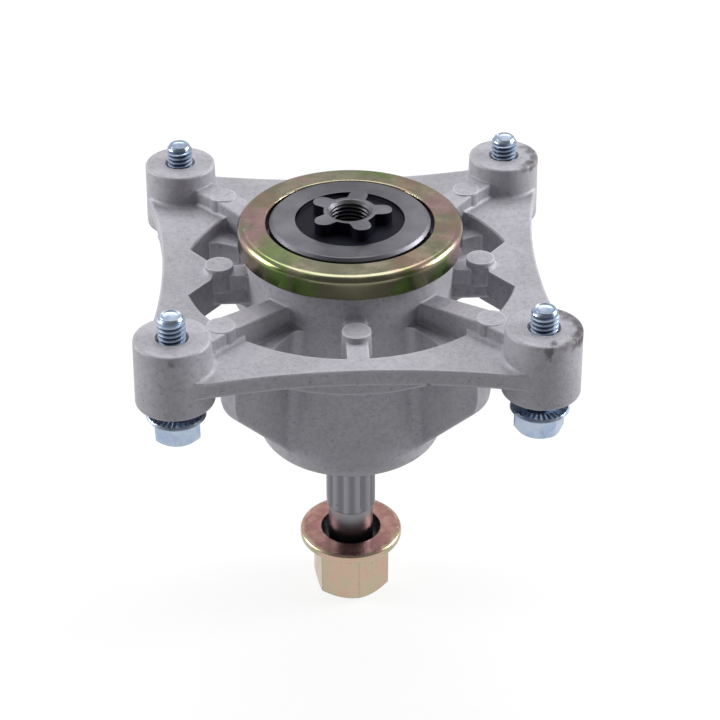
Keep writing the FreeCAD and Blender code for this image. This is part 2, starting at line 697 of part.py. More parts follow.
def flange_nut():
    """Tall flange nut: a round flange against the pulley, a recess round the shaft, and a hexagon."""
    rim_foot_z = nut_top_z - nut_flange_rim
    cone_foot_z = rim_foot_z - nut_flange_cone
    hex_r = nut_across_flats / 2
    flange = turned([(0, cone_foot_z, 0), (hex_r, cone_foot_z, 0),
                     (nut_flange_r, rim_foot_z, nut_flange_rim_round),
                     (nut_flange_r, nut_top_z, nut_flange_top_round), (0, nut_top_z, 0)])
    body = hex_head(nut_across_flats, nut_foot_z, nut_height - nut_flange_rim, nut_turn_deg,
                    nut_corner_chamfer_r, nut_corner_chamfer)
    thread = Part.makeCylinder(neck_r + thread_play, nut_height + 2 * tool_past,
                               V(0, 0, nut_foot_z - tool_past))
    recess = Part.makeCylinder(nut_recess_r, nut_recess_depth + tool_past,
                               V(0, 0, nut_top_z - nut_recess_depth))
    return flange.fuse(body).cut([thread, recess]).removeSplitter()


def deck_screw(turn_deg):
    """Thread-forming flange screw about the origin, head down, with its tip above the boss."""
    face_z = -screw_deck_room
    rim_foot_z = face_z - screw_flange_rim
    cone_foot_z = rim_foot_z - screw_flange_cone
    hex_r = screw_across_flats / 2
    tip_z = face_z + screw_length
    shank = turned([(0, rim_foot_z, 0), (screw_r, rim_foot_z, 0), (screw_r, tip_z - screw_tip_taper, 0),
                    (screw_tip_r, tip_z, screw_tip_round), (0, tip_z, 0)])
    flange = turned([(0, cone_foot_z, 0), (hex_r, cone_foot_z, 0),
                     (screw_flange_r, rim_foot_z, screw_edge_round),
                     (screw_flange_r, face_z, screw_edge_round), (0, face_z, 0)])
    head = hex_head(screw_across_flats, face_z - screw_head_height, screw_head_height - screw_flange_rim,
                    turn_deg, hex_r - screw_corner_inset, screw_corner_chamfer)
    return shank.fuse([flange, head]).removeSplitter()


nodes = {"mandrel_housing": mandrel_housing(), "dust_shield": dust_shield(),
         "spindle_shaft": spindle_shaft(), "bearing_spacer": bearing_spacer(), "flange_nut": flange_nut()}
for name, centre in boss_places().items():
    screw = deck_screw(screw_turns_deg[name])
    screw.translate(centre)
    nodes["deck_screw_" + name] = screw
bearings = {"blade_bearing": bearing(upper_bore_d, upper_outside_d, upper_width, upper_ball_d,
                                     upper_bearing_foot_z),
            "pulley_bearing": bearing(lower_bore_d, lower_outside_d, lower_width, lower_ball_d,
                                      lower_bearing_foot_z)}
for name, pieces in bearings.items():
    for piece, shape in pieces.items():
        nodes[name + "_" + piece] = shape

for name, shape in nodes.items():
    shape.exportStep("parts/" + name + ".step")
    print(name, len(shape.Solids), round(shape.Volume, 1), shape.isValid())
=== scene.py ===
# The looks of a mower deck spindle, section by section in the order in which it is put together.
import math

import bmesh
import bpy
from mathutils import Matrix, Vector


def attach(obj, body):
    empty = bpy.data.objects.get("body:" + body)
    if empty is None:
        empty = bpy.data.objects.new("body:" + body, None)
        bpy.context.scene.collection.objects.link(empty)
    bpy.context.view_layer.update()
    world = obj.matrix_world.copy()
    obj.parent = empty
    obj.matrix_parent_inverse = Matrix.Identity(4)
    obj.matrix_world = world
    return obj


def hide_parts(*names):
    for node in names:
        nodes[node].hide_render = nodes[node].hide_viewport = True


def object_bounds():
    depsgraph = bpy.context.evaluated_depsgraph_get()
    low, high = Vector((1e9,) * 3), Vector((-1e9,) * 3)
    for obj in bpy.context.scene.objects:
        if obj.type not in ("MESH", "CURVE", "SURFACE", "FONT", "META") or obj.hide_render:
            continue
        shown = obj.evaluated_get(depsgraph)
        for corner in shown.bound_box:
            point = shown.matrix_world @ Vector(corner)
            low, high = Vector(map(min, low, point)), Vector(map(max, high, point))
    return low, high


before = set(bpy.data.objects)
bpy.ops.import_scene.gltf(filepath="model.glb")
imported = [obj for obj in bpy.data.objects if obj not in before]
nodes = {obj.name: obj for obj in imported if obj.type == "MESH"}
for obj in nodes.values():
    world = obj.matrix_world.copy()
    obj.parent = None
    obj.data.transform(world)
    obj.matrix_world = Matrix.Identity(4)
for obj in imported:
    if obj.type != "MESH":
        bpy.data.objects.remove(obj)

cad_low, cad_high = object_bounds()


# Mandrel housing
# An aluminium casting, blasted with fine shot, so that its skin is matte and lightly speckled. Its
# edges and fillets carry a painted highlight, and the two stained bosses came so from the mould.
MM = 0.001
CAST_GREY = (0.32, 0.312, 0.345, 1)
CAST_LIGHT = (0.415, 0.407, 0.447, 1)
CAST_DARK = (0.22, 0.215, 0.235, 1)
CAST_EDGE_HIGHLIGHT = (0.70, 0.69, 0.74, 1)
CAST_STAIN = (0.035, 0.028, 0.030, 1)
CAST_METALLIC = 0.25
CAST_SPECULAR = 0.4
CAST_ROUGHNESS = (0.5, 0.62)
CAST_CLOUD = 14 * MM
CAST_MOTTLE = 1.7 * MM
CAST_GRAIN = 0.45 * MM
CAST_PIT = 1.1 * MM
CAST_RELIEF_STRENGTH = 0.5
CAST_RELIEF_DEPTH = 0.1 * MM
CAST_EDGE_ROUND = 0.5 * MM
CAST_HIGHLIGHT_WIDTH = 1.3 * MM
CAST_HIGHLIGHT_SHARPEST = 0.9
# Each span is where a noise, a radius or a height starts and ends to bring in a tone, and the share
# of the tone at the two ends, which is 0 and 1 where it isn't given
CLOUD_SPAN = (0.3, 0.7)
MOTTLE_SPAN = (0.35, 0.7, 0.0, 0.4)
GRAIN_SPAN = (0.35, 0.75, 0.0, 0.7)
PIT_SPAN = (0.42, 0.25, 0.0, 0.8)
HIGHLIGHT_SPAN = (0.3, 0.6, 0.25, 0.55)
# A patch is full within the first share of its radius and ends at the second
PATCH_FULL = 0.25
PATCH_END = 1.2
# Centre and radius in mm and darkness of each stain: two stained bosses, then streaks and nicks
STAINS = [((56.4, -43.2, 20.9), 2.4, 0.55), ((58.4, -45.4, 20.9), 2.7, 0.6),
          ((60.2, -48.0, 20.9), 2.8, 0.6), ((61.6, -51.0, 20.9), 2.7, 0.7),
          ((62.2, -54.2, 20.6), 2.8, 0.75), ((61.0, -57.4, 20.6), 3.0, 0.8),
          ((58.6, -59.6, 20.9), 2.6, 0.55), ((55.6, -61.4, 20.9), 1.8, 0.45),
          ((61.0, -59.6, 19.2), 3.2, 0.4), ((62.6, -53.5, 19.0), 2.8, 0.35),
          ((53.2, -60.6, 20.9), 1.6, 0.7), ((51.9, -62.7, 17.9), 1.1, 0.6),
          ((52.0, -62.8, 19.4), 1.3, 0.65), ((-51.7, -62.8, 19.2), 1.4, 0.45),
          ((58.9, 56.3, 20.9), 2.4, 0.5), ((60.6, 53.4, 20.9), 2.6, 0.6),
          ((61.4, 50.2, 20.9), 2.5, 0.6), ((61.0, 47.2, 20.9), 2.6, 0.6),
          ((59.9, 44.6, 20.9), 2.6, 0.65), ((57.4, 42.8, 20.8), 2.3, 0.55),
          ((-22.2, -58.3, 11.0), 1.0, 0.7), ((19.5, -58.2, 6.2), 1.0, 0.7),
          ((-25.6, -21.3, 12.6), 0.9, 0.7)]
STAIN_PATCH = 2.6 * MM
STAIN_RAGGED = 0.9 * MM
STAIN_SPAN = (0.25, 0.75, -STAIN_RAGGED, STAIN_RAGGED)


def start_material(name):
    """A material with its node tree, its shader, and the place of each point on the piece."""
    material = bpy.data.materials.new(name)
    material.use_nodes = True
    tree = material.node_tree
    place = tree.nodes.new("ShaderNodeTexCoord").outputs["Object"]
    return material, tree, tree.nodes["Principled BSDF"], place


def set_inputs(tree, node, inputs):
    """Gives each input of a node a value, or a link from another node's output."""
    for name, value in inputs.items():
        if isinstance(value, bpy.types.NodeSocket):
            tree.links.new(value, node.inputs[name])
        else:
            node.inputs[name].default_value = value


def add_node(tree, kind, inputs, **settings):
    """Adds a node with its settings and its inputs."""
    made = tree.nodes.new("ShaderNode" + kind)
    for name, value in settings.items():
        setattr(made, name, value)
    set_inputs(tree, made, inputs)
    return made


def noise(tree, place, size, detail):
    """Soft random values from 0 to 1, in patches about as wide as size."""
    texture = add_node(tree, "TexNoise", {"Vector": place, "Scale": 1.0 / size, "Detail": detail})
    return texture.outputs["Fac"]


def spread(tree, value, low, high, to_low=0.0, to_high=1.0):
    """Value between low and high, eased over another range and held at its ends."""
    limits = {"Value": value, "From Min": low, "From Max": high,
              "To Min": to_low, "To Max": to_high}
    return add_node(tree, "MapRange", limits, interpolation_type="SMOOTHSTEP").outputs["Result"]


def maths(tree, operation, first, second):
    """One sum of two values or outputs."""
    return add_node(tree, "Math", {0: first, 1: second}, operation=operation).outputs["Value"]


def product(tree, first, *others):
    """The product of all the values or outputs."""
    for other in others:
        first = maths(tree, "MULTIPLY", first, other)
    return first


def mix_colour(tree, share, first, second):
    """The first colour with a share of the second in it."""
    return add_node(tree, "Mix", {0: share, 6: first, 7: second}, data_type="RGBA").outputs[2]


def lay_over(tree, value, span, first, second):
    """The first colour with the second laid over it as value passes through its span."""
    return mix_colour(tree, spread(tree, value, *span), first, second)


def near_point(tree, place, centre, radius, ragged):
    """1 at a point of the piece, falling to 0 about radius; ragged moves the border in and out."""
    away = add_node(tree, "VectorMath", {0: place, 1: centre}, operation="DISTANCE")
    distance = maths(tree, "ADD", away.outputs["Value"], ragged)
    return spread(tree, distance, PATCH_FULL * radius, PATCH_END * radius, 1.0, 0.0)


def round_edges(tree, radius, samples):
    """The normal of the skin with its edges rounded."""
    return add_node(tree, "Bevel", {"Radius": radius}, samples=samples).outputs["Normal"]


def edge_share(tree, width, sharpest):
    """0 on flat skin, rising to 1 at the sharp edges and corners, in a band of about width."""
    flat = add_node(tree, "NewGeometry", {}).outputs["Normal"]
    both = {0: round_edges(tree, width, samples=6), 1: flat}
    agreement = add_node(tree, "VectorMath", both, operation="DOT_PRODUCT").outputs["Value"]
    return spread(tree, agreement, 1.0, sharpest)


def relief(tree, height, strength, depth, skin=None):
    """The normal of the skin with a fine relief on it."""
    inputs = {"Height": height, "Strength": strength, "Distance": depth}
    if skin:
        inputs["Normal"] = skin
    return add_node(tree, "Bump", inputs).outputs["Normal"]


def cast_aluminium():
    """Matte blasted aluminium with speckle, a painted highlight on its edges, and a few dark
    stains.
    """
    material, tree, shader, place = start_material("cast_aluminium")
    cloud = noise(tree, place, CAST_CLOUD, detail=4.0)
    mottle = noise(tree, place, CAST_MOTTLE, detail=4.0)
    grain = noise(tree, place, CAST_GRAIN, detail=1.0)
    pits = noise(tree, place, CAST_PIT, detail=3.0)
    colour = lay_over(tree, cloud, CLOUD_SPAN, CAST_GREY, CAST_LIGHT)
    colour = lay_over(tree, mottle, MOTTLE_SPAN, colour, CAST_DARK)
    colour = lay_over(tree, grain, GRAIN_SPAN, colour, CAST_LIGHT)
    colour = lay_over(tree, pits, PIT_SPAN, colour, CAST_DARK)
    # Edges and fillets, both convex and concave, are lightened in patches: a painted highlight
    edge_highlight = product(tree, edge_share(tree, CAST_HIGHLIGHT_WIDTH, CAST_HIGHLIGHT_SHARPEST),
                     spread(tree, mottle, *HIGHLIGHT_SPAN))
    colour = mix_colour(tree, edge_highlight, colour, CAST_EDGE_HIGHLIGHT)
    ragged = spread(tree, noise(tree, place, STAIN_PATCH, detail=3.0), *STAIN_SPAN)
    for centre, radius, darkness in STAINS:
        middle = [value * MM for value in centre]
        stain = near_point(tree, place, middle, radius * MM, ragged)
        colour = mix_colour(tree, product(tree, stain, darkness), colour, CAST_STAIN)
    skin = relief(tree, maths(tree, "ADD", grain, pits), CAST_RELIEF_STRENGTH, CAST_RELIEF_DEPTH,
                  round_edges(tree, CAST_EDGE_ROUND, samples=4))
    set_inputs(tree, shader, {"Base Color": colour, "Metallic": CAST_METALLIC, "Normal": skin,
                              "Roughness": spread(tree, cloud, *CLOUD_SPAN, *CAST_ROUGHNESS),
                              "Specular IOR Level": CAST_SPECULAR})
    return material


def dress(node, material):
    """Gives a CAD node its material."""
    slots = nodes[node].data.materials
    slots.clear()
    slots.append(material)


dress("mandrel_housing", cast_aluminium())


# Dust shield
# A ring pressed from thin sheet steel, plated with zinc and passed through a yellow chromate bath,
# which leaves patches of olive, copper, green and pink. It is pressed on the collar of the hub.
PLATE_OLIVE = (0.215, 0.215, 0.14, 1)
PLATE_SAND = (0.29, 0.255, 0.18, 1)
PLATE_GREEN = (0.19, 0.27, 0.085, 1)
PLATE_PINK = (0.32, 0.18, 0.195, 1)
PLATE_COPPER = (0.28, 0.19, 0.14, 1)
PLATE_SPECK = (0.035, 0.033, 0.022, 1)
PLATE_CLOUD = 6 * MM
PLATE_SPECK_SIZE = 1.1 * MM
PLATE_SPECK_SPAN = (0.68, 0.76, 0.0, 0.5)
PLATE_PATCH_SHARE = 0.75
PLATE_SMOOTHER = 0.05
PLATE_ROUGHER = 0.08
PLATE_RELIEF = 0.8 * MM
PLATE_RELIEF_STRENGTH = 0.12
PLATE_RELIEF_DEPTH = 0.05 * MM
PATCH_RAGGED_SPAN = (0.2, 0.8, -0.6, 0.6)
# The skirt's darker olive is painted shade, standing in for the dark reflection on its side
SKIRT_PAINTED_SHADE = (0.125, 0.12, 0.073, 1)
SKIRT_GREEN = (0.11, 0.20, 0.04, 1)
SKIRT_PATCH_SHARE = 0.8
SHIELD_ROUGHNESS = 0.22
SHIELD_R = 33.5 * MM
SHIELD_MIDDLE_R = 29.0 * MM
SHIELD_TOP_Z = 27.2 * MM
SHIELD_EDGE_Z = 25.1 * MM
SHIELD_SKIRT_Z = 22.0 * MM
SKIRT_SHADE_SPAN = (SHIELD_EDGE_Z + 0.6 * MM, SHIELD_EDGE_Z - 0.9 * MM, 0.0, 0.85)
TOP_RAGGED = 5 * MM
SKIRT_RAGGED = 4 * MM
# Azimuth in degrees, radius in mm and colour of each patch on the flat top and on the skirt
TOP_PATCHES = [(172, 10.0, PLATE_PINK), (148, 9.0, PLATE_COPPER), (196, 7.0, PLATE_PINK),
               (18, 8.0, PLATE_PINK), (48, 9.0, PLATE_COPPER), (-8, 8.0, PLATE_COPPER),
               (218, 9.0, PLATE_GREEN), (262, 10.0, PLATE_OLIVE), (305, 8.0, PLATE_COPPER),
               (90, 9.0, PLATE_OLIVE)]
SKIRT_PATCHES = [(228, 6.0, SKIRT_GREEN), (243, 5.5, SKIRT_GREEN), (296, 5.0, SKIRT_GREEN),
                 (322, 6.0, SKIRT_GREEN), (206, 7.0, PLATE_COPPER), (340, 8.0, PLATE_PINK),
                 (70, 9.0, SKIRT_GREEN), (120, 9.0, PLATE_PINK)]


def on_circle(circle_r, height, patches):
    """Centre, radius and colour of each patch, at its azimuth on a circle about the shaft axis."""
    placed = []
    for azimuth_deg, size, colour in patches:
        angle = math.radians(azimuth_deg)
        centre = (circle_r * math.cos(angle), circle_r * math.sin(angle), height)
        placed.append((centre, size * MM, colour))
    return placed


def lay_patches(tree, place, colour, patches, ragged_size, most):
    """A colour under soft ragged patches of others, each up to most of its strength."""
    ragged = spread(tree, noise(tree, place, ragged_size, detail=6.0), *PATCH_RAGGED_SPAN)
    for centre, radius, patch in patches:
        share = near_point(tree, place, centre, radius, product(tree, ragged, radius))
        colour = mix_colour(tree, product(tree, share, most), colour, patch)
    return colour


def chromate(name, base, light, patches, ragged_size, roughness):
    """Chromate plating: a base colour clouded with a lighter one, under patches and fine specks."""
    material, tree, shader, place = start_material(name)
    cloud = noise(tree, place, PLATE_CLOUD, detail=5.0)
    colour = lay_over(tree, cloud, CLOUD_SPAN, base, light)
    colour = lay_patches(tree, place, colour, patches, ragged_size, PLATE_PATCH_SHARE)
    specks = noise(tree, place, PLATE_SPECK_SIZE, detail=2.0)
    colour = lay_over(tree, specks, PLATE_SPECK_SPAN, colour, PLATE_SPECK)
    gloss = spread(tree, cloud, *CLOUD_SPAN, roughness - PLATE_SMOOTHER, roughness + PLATE_ROUGHER)
    grain = noise(tree, place, PLATE_RELIEF, detail=3.0)
    skin = relief(tree, grain, PLATE_RELIEF_STRENGTH, PLATE_RELIEF_DEPTH)
    set_inputs(tree, shader, {"Metallic": 1.0, "Normal": skin, "Roughness": gloss})
    return material, tree, shader, place, colour


def height_of(tree, place):
    """Height of each point along the shaft axis."""
    return add_node(tree, "SeparateXYZ", {"Vector": place}).outputs["Z"]


def shield_plating():
    """Olive and pink plating, darkened on the skirt by painted shade."""
    tops = on_circle(SHIELD_MIDDLE_R, SHIELD_TOP_Z, TOP_PATCHES)
    lows = on_circle(SHIELD_R, SHIELD_SKIRT_Z, SKIRT_PATCHES)
    material, tree, shader, place, colour = chromate(
        "shield_plating", PLATE_OLIVE, PLATE_SAND, tops, TOP_RAGGED, SHIELD_ROUGHNESS)
    # Painted shade: the skirt's side is laid over with a darker olive
    colour = lay_over(tree, height_of(tree, place), SKIRT_SHADE_SPAN, colour, SKIRT_PAINTED_SHADE)
    colour = lay_patches(tree, place, colour, lows, SKIRT_RAGGED, SKIRT_PATCH_SHARE)
    set_inputs(tree, shader, {"Base Color": colour})
    return material


dress("dust_shield", shield_plating())


# Spindle shaft
# Forged steel. The blade flange, the top of its star and the lower end are ground bright, and the
# forging keeps a black scale in the recess round the star. Twelve flutes carry the pulley.
STEEL_GREY = (0.112, 0.110, 0.125, 1)
STEEL_LIGHT = (0.16, 0.157, 0.175, 1)
STEEL_PAINTED_SHADE = (0.05, 0.048, 0.052, 1)
STEEL_LOWER = (0.29, 0.288, 0.318, 1)
STEEL_SPOT = (0.10, 0.09, 0.09, 1)
SCALE_BLACK = (0.006, 0.006, 0.012, 1)
SCALE_NONMETAL = 0.95
STEEL_ROUGHNESS = 0.34
SCALE_ROUGHNESS = 0.5
STEEL_SPECULAR = 0.1
STEEL_ANISOTROPY = 0.6
STEEL_CLOUD = 9 * MM
STEEL_SPOT_SIZE = 2.6 * MM
STEEL_SPOT_SPAN = (0.735, 0.76, 0.0, 0.6)
# Turning rings: their spacing, how little they change along the shaft, their tone and their depth
RING_SPACING = 0.25 * MM
RING_ALONG = 0.05
RING_SPAN = (0.4, 0.7, 0.0, 0.25)
RING_STRENGTH = 0.12
RING_DEPTH = 0.02 * MM
STEEL_EDGE_ROUND = 0.4 * MM
FLANGE_TOP_Z = 27.9 * MM
STAR_TOP_Z = 30.7 * MM
RECESS_R = 16.2 * MM
BLADE_THREAD_R = 5.75 * MM
HOLE_MOUTH_Z = 29.7 * MM
SPLINE_R = 7.94 * MM
SPLINE_TOP_Z = -48.7 * MM
SPLINE_FOOT_Z = -76.7 * MM
LOWER_SPAN = (0.0, -10 * MM, 0.0, 0.7)
# Limits of the painted shade in the hole and in the flutes, and of the scale in the recess round
# the star
HOLE_WALL = (BLADE_THREAD_R + 0.2 * MM, BLADE_THREAD_R + 0.1 * MM)
HOLE_MOUTH = (HOLE_MOUTH_Z, HOLE_MOUTH_Z - 0.8 * MM, 0.0, 0.85)
FLUTE_DEPTH = (SPLINE_R - 0.05 * MM, SPLINE_R - 0.9 * MM, 0.0, 0.55)
FLUTE_FOOT = (SPLINE_FOOT_Z, SPLINE_FOOT_Z + 0.1 * MM)
FLUTE_TOP = (SPLINE_TOP_Z + 0.1 * MM, SPLINE_TOP_Z)
SCALE_TOP = (STAR_TOP_Z - 0.06 * MM, STAR_TOP_Z - 0.12 * MM)
SCALE_FOOT = (FLANGE_TOP_Z - 1.4 * MM, FLANGE_TOP_Z - 1.3 * MM)
SCALE_OUTSIDE = (RECESS_R + 0.1 * MM, RECESS_R + 0.05 * MM)
SCALE_INSIDE = (BLADE_THREAD_R + 1.0 * MM, BLADE_THREAD_R + 1.05 * MM)


def radius_of(tree, place):
    """Distance of each point from the upright axis through the middle."""
    level = add_node(tree, "VectorMath", {0: place, 1: (1, 1, 0)}, operation="MULTIPLY")
    length = add_node(tree, "VectorMath", {0: level.outputs["Vector"]}, operation="LENGTH")
    return length.outputs["Value"]


def within(tree, *limits):
    """The share of a tone that keeps within all the limits, each a value and its span."""
    return product(tree, *[spread(tree, value, *span) for value, span in limits])


def ground_steel():
    """Ground steel with fine turning rings, painted shade in its hole and flutes, and black scale
    below the flange's ground faces.
    """
    material, tree, shader, place = start_material("ground_steel")
    radius = radius_of(tree, place)
    height = height_of(tree, place)
    along = product(tree, height, RING_ALONG)
    turned = add_node(tree, "CombineXYZ", {"X": radius, "Y": along}).outputs["Vector"]
    rings = noise(tree, turned, RING_SPACING, detail=2.0)
    cloud = noise(tree, place, STEEL_CLOUD, detail=3.0)
    spots = noise(tree, place, STEEL_SPOT_SIZE, detail=1.0)
    hole = within(tree, (radius, HOLE_WALL), (height, HOLE_MOUTH))
    flute = within(tree, (radius, FLUTE_DEPTH), (height, FLUTE_FOOT), (height, FLUTE_TOP))
    scale = within(tree, (height, SCALE_TOP), (radius, SCALE_OUTSIDE), (radius, SCALE_INSIDE),
                   (height, SCALE_FOOT))
    colour = lay_over(tree, cloud, CLOUD_SPAN, STEEL_GREY, STEEL_LIGHT)
    colour = lay_over(tree, rings, RING_SPAN, colour, STEEL_LIGHT)
    colour = lay_over(tree, height, LOWER_SPAN, colour, STEEL_LOWER)
    colour = lay_over(tree, spots, STEEL_SPOT_SPAN, colour, STEEL_SPOT)
    # The bolt hole and the bottoms of the flutes are darkened with painted shade
    colour = mix_colour(tree, hole, colour, STEEL_PAINTED_SHADE)
    colour = mix_colour(tree, flute, colour, STEEL_PAINTED_SHADE)
    colour = mix_colour(tree, scale, colour, SCALE_BLACK)
    metal = maths(tree, "SUBTRACT", 1.0, product(tree, scale, SCALE_NONMETAL))
    gloss = spread(tree, scale, 0.0, 1.0, STEEL_ROUGHNESS, SCALE_ROUGHNESS)
    grooves = add_node(tree, "Tangent", {}, direction_type="RADIAL", axis="Z").outputs["Tangent"]
    skin = relief(tree, rings, RING_STRENGTH, RING_DEPTH,
                  round_edges(tree, STEEL_EDGE_ROUND, samples=4))
    set_inputs(tree, shader, {"Base Color": colour, "Metallic": metal, "Roughness": gloss,
                              "Specular IOR Level": STEEL_SPECULAR, "Tangent": grooves,
                              "Anisotropic": STEEL_ANISOTROPY, "Normal": skin})
    return material


ground = ground_steel()
dress("spindle_shaft", ground)


# Bearings and spacer
# Two sealed ball bearings, with a drawn tube between their inner rings. Rings and balls are
# polished, the cages are pressed sheet, and the seals are black rubber.
POLISHED = {"colour": (0.50, 0.50, 0.52, 1), "lighter": (0.58, 0.58, 0.60, 1),
            "roughness": 0.15, "patch": 6 * MM}
SHEET = {"colour": (0.38, 0.38, 0.38, 1), "lighter": (0.45, 0.45, 0.45, 1),
         "roughness": 0.35, "patch": 4 * MM}
TUBE = {"colour": (0.28, 0.28, 0.29, 1), "lighter": (0.36, 0.36, 0.37, 1),
        "roughness": 0.4, "patch": 8 * MM}
METAL_ROUGHER = 0.1
RUBBER_BLACK = (0.012, 0.012, 0.014, 1)
RUBBER_GREY = (0.03, 0.03, 0.032, 1)
RUBBER_ROUGHNESS = 0.6
RUBBER_GRAIN = 0.5 * MM
RUBBER_RELIEF_STRENGTH = 0.2
RUBBER_RELIEF_DEPTH = 0.05 * MM


def plain_metal(name, colour, lighter, roughness, patch):
    """Plain metal with a soft cloud of a second tone."""
    material, tree, shader, place = start_material(name)
    cloud = noise(tree, place, patch, detail=3.0)
    gloss = spread(tree, cloud, *CLOUD_SPAN, roughness, roughness + METAL_ROUGHER)
    set_inputs(tree, shader, {"Base Color": lay_over(tree, cloud, CLOUD_SPAN, colour, lighter),
                              "Metallic": 1.0, "Roughness": gloss})
    return material


def seal_rubber():
    """Black moulded rubber with a fine grain."""
    material, tree, shader, place = start_material("seal_rubber")
    grain = noise(tree, place, RUBBER_GRAIN, detail=2.0)
    skin = relief(tree, grain, RUBBER_RELIEF_STRENGTH, RUBBER_RELIEF_DEPTH)
    set_inputs(tree, shader, {"Base Color": mix_colour(tree, grain, RUBBER_BLACK, RUBBER_GREY),
                              "Metallic": 0.0, "Roughness": RUBBER_ROUGHNESS, "Normal": skin})
    return material


polished = plain_metal("polished_steel", **POLISHED)
rubber = seal_rubber()
BEARING_FINISHES = {"inner_ring": polished, "outer_ring": polished, "balls": polished,
                    "cage": plain_metal("cage_sheet", **SHEET),
                    "seal_top": rubber, "seal_bottom": rubber}
for bearing in ("blade_bearing_", "pulley_bearing_"):
    for piece, finish in BEARING_FINISHES.items():
        dress(bearing + piece, finish)
dress("bearing_spacer", plain_metal("drawn_tube", **TUBE))


# Flange nut
# A tall nut with a broad round flange, turned and plated in the same chromate bath as the shield.
# The flange came out pink, its rim green and gold, and the hexagon peach.
NUT_PEACH = (0.56, 0.38, 0.30, 1)
NUT_SAND = (0.50, 0.43, 0.30, 1)
NUT_ROSE = (0.32, 0.145, 0.15, 1)
NUT_BLUSH = (0.42, 0.24, 0.20, 1)
NUT_GREEN = (0.38, 0.40, 0.24, 1)
NUT_EDGE_SHADE = (0.30, 0.32, 0.20, 1)
# Painted shade for the recess, black
NUT_RECESS_SHADE = (0.012, 0.010, 0.010, 1)
NUT_ROUGHNESS = 0.26
NUT_RAGGED = 8 * MM
NUT_TOP_Z = -86.6 * MM
NUT_FLANGE_R = 16.45 * MM
NUT_RIM_Z = NUT_TOP_Z - 1.6 * MM
NUT_HEXAGON_R = 12.0 * MM
NUT_HEXAGON_Z = NUT_TOP_Z - 18.0 * MM
NUT_RECESS_R = 9.7 * MM
# Azimuth in degrees, radius in mm and colour of the patches on the flange's rim and on the hexagon
RIM_PATCHES = [(azimuth, 2.6, NUT_GREEN) for azimuth in (200, 222, 318, 338)]
HEXAGON_PATCHES = [(azimuth, 4.0, NUT_SAND) for azimuth in (20, 140, 228, 304)]
# The rose tone on the flange's top, with its ragged border, and the greenish painted shade along
# the hexagon's edges
ROSE_CLOUD = 2.5 * MM
ROSE_CLOUD_SPAN = (0.35, 0.7)
ROSE_BORDER = 3 * MM
ROSE_RAGGED = 0.5 * MM
ROSE_FOOT = (NUT_TOP_Z - 0.9 * MM, NUT_TOP_Z - 0.3 * MM, 0.0, 0.9)
ROSE_OUTSIDE = (16.2 * MM, 14.6 * MM)
NUT_EDGE_WIDTH = 0.9 * MM
NUT_EDGE_SHARPEST = 0.93
NUT_EDGE_TOP = (NUT_TOP_Z - 3.0 * MM, NUT_TOP_Z - 4.0 * MM, 0.0, 0.65)
NUT_RECESS_WALL = (NUT_RECESS_R + 0.1 * MM, NUT_RECESS_R + 0.04 * MM)
NUT_RECESS_MOUTH = (NUT_TOP_Z - 0.1 * MM, NUT_TOP_Z - 0.5 * MM)


def nut_plating():
    """Peach plating, rose on the flange's top, greenish at its rim, painted shade along the
    hexagon's edges, and black painted shade in the recess.
    """
    patches = (on_circle(NUT_FLANGE_R, NUT_RIM_Z, RIM_PATCHES)
               + on_circle(NUT_HEXAGON_R, NUT_HEXAGON_Z, HEXAGON_PATCHES))
    material, tree, shader, place, colour = chromate(
        "nut_plating", NUT_PEACH, NUT_SAND, patches, NUT_RAGGED, NUT_ROUGHNESS)
    radius = radius_of(tree, place)
    height = height_of(tree, place)
    border = noise(tree, place, ROSE_BORDER, detail=5.0)
    ragged = spread(tree, border, *CLOUD_SPAN, -ROSE_RAGGED, ROSE_RAGGED)
    top = within(tree, (height, ROSE_FOOT), (maths(tree, "ADD", radius, ragged), ROSE_OUTSIDE))
    cloud = noise(tree, place, ROSE_CLOUD, detail=4.0)
    rose = lay_over(tree, cloud, ROSE_CLOUD_SPAN, NUT_ROSE, NUT_BLUSH)
    colour = mix_colour(tree, top, colour, rose)
    # A greenish painted shade along the hexagon's edges marks its corners
    edges = product(tree, edge_share(tree, NUT_EDGE_WIDTH, NUT_EDGE_SHARPEST),
                    spread(tree, height, *NUT_EDGE_TOP))
    colour = mix_colour(tree, edges, colour, NUT_EDGE_SHADE)
    # The recess is painted black and dull: painted shade
    recess = within(tree, (radius, NUT_RECESS_WALL), (height, NUT_RECESS_MOUTH))
    colour = mix_colour(tree, recess, colour, NUT_RECESS_SHADE)
    metal = maths(tree, "SUBTRACT", 1.0, recess)
    set_inputs(tree, shader, {"Base Color": colour, "Metallic": metal})
    return material


dress("flange_nut", nut_plating())


# Deck screws
# Thread-forming flange screws, rolled and headed from steel wire and plated with clear zinc, which
# looks blue. Each forms its own thread in a boss. The flange is serrated so that it bites the deck.
SCREW_SQUARE = 103.2 * MM
SCREW_R = 3.97 * MM
SCREW_ROOT_R = 3.02 * MM
SCREW_PITCH = 1.41 * MM
SCREW_TIP_R = 3.05 * MM
SCREW_TIP_Z = 27.9 * MM
SCREW_TAPER = 1.5 * MM
SCREW_SMOOTH_DEG = 22
SEAT_Z = -3.85 * MM
# Azimuth of one corner of each head in degrees, and how much deeper the screw is driven in mm
SCREW_PLACES = {"front_left": (-84.7, 0.0), "front_right": (-58.0, 1.0), "rear_left": (12.0, 0.7),
                "rear_right": (35.0, 0.6)}
THREAD_STEPS = 40
THREAD_WELD = 1e-6
THREAD_FOOT_Z = SEAT_Z - 0.5 * MM
THREAD_TOP_Z = SCREW_TIP_Z - 0.12 * MM
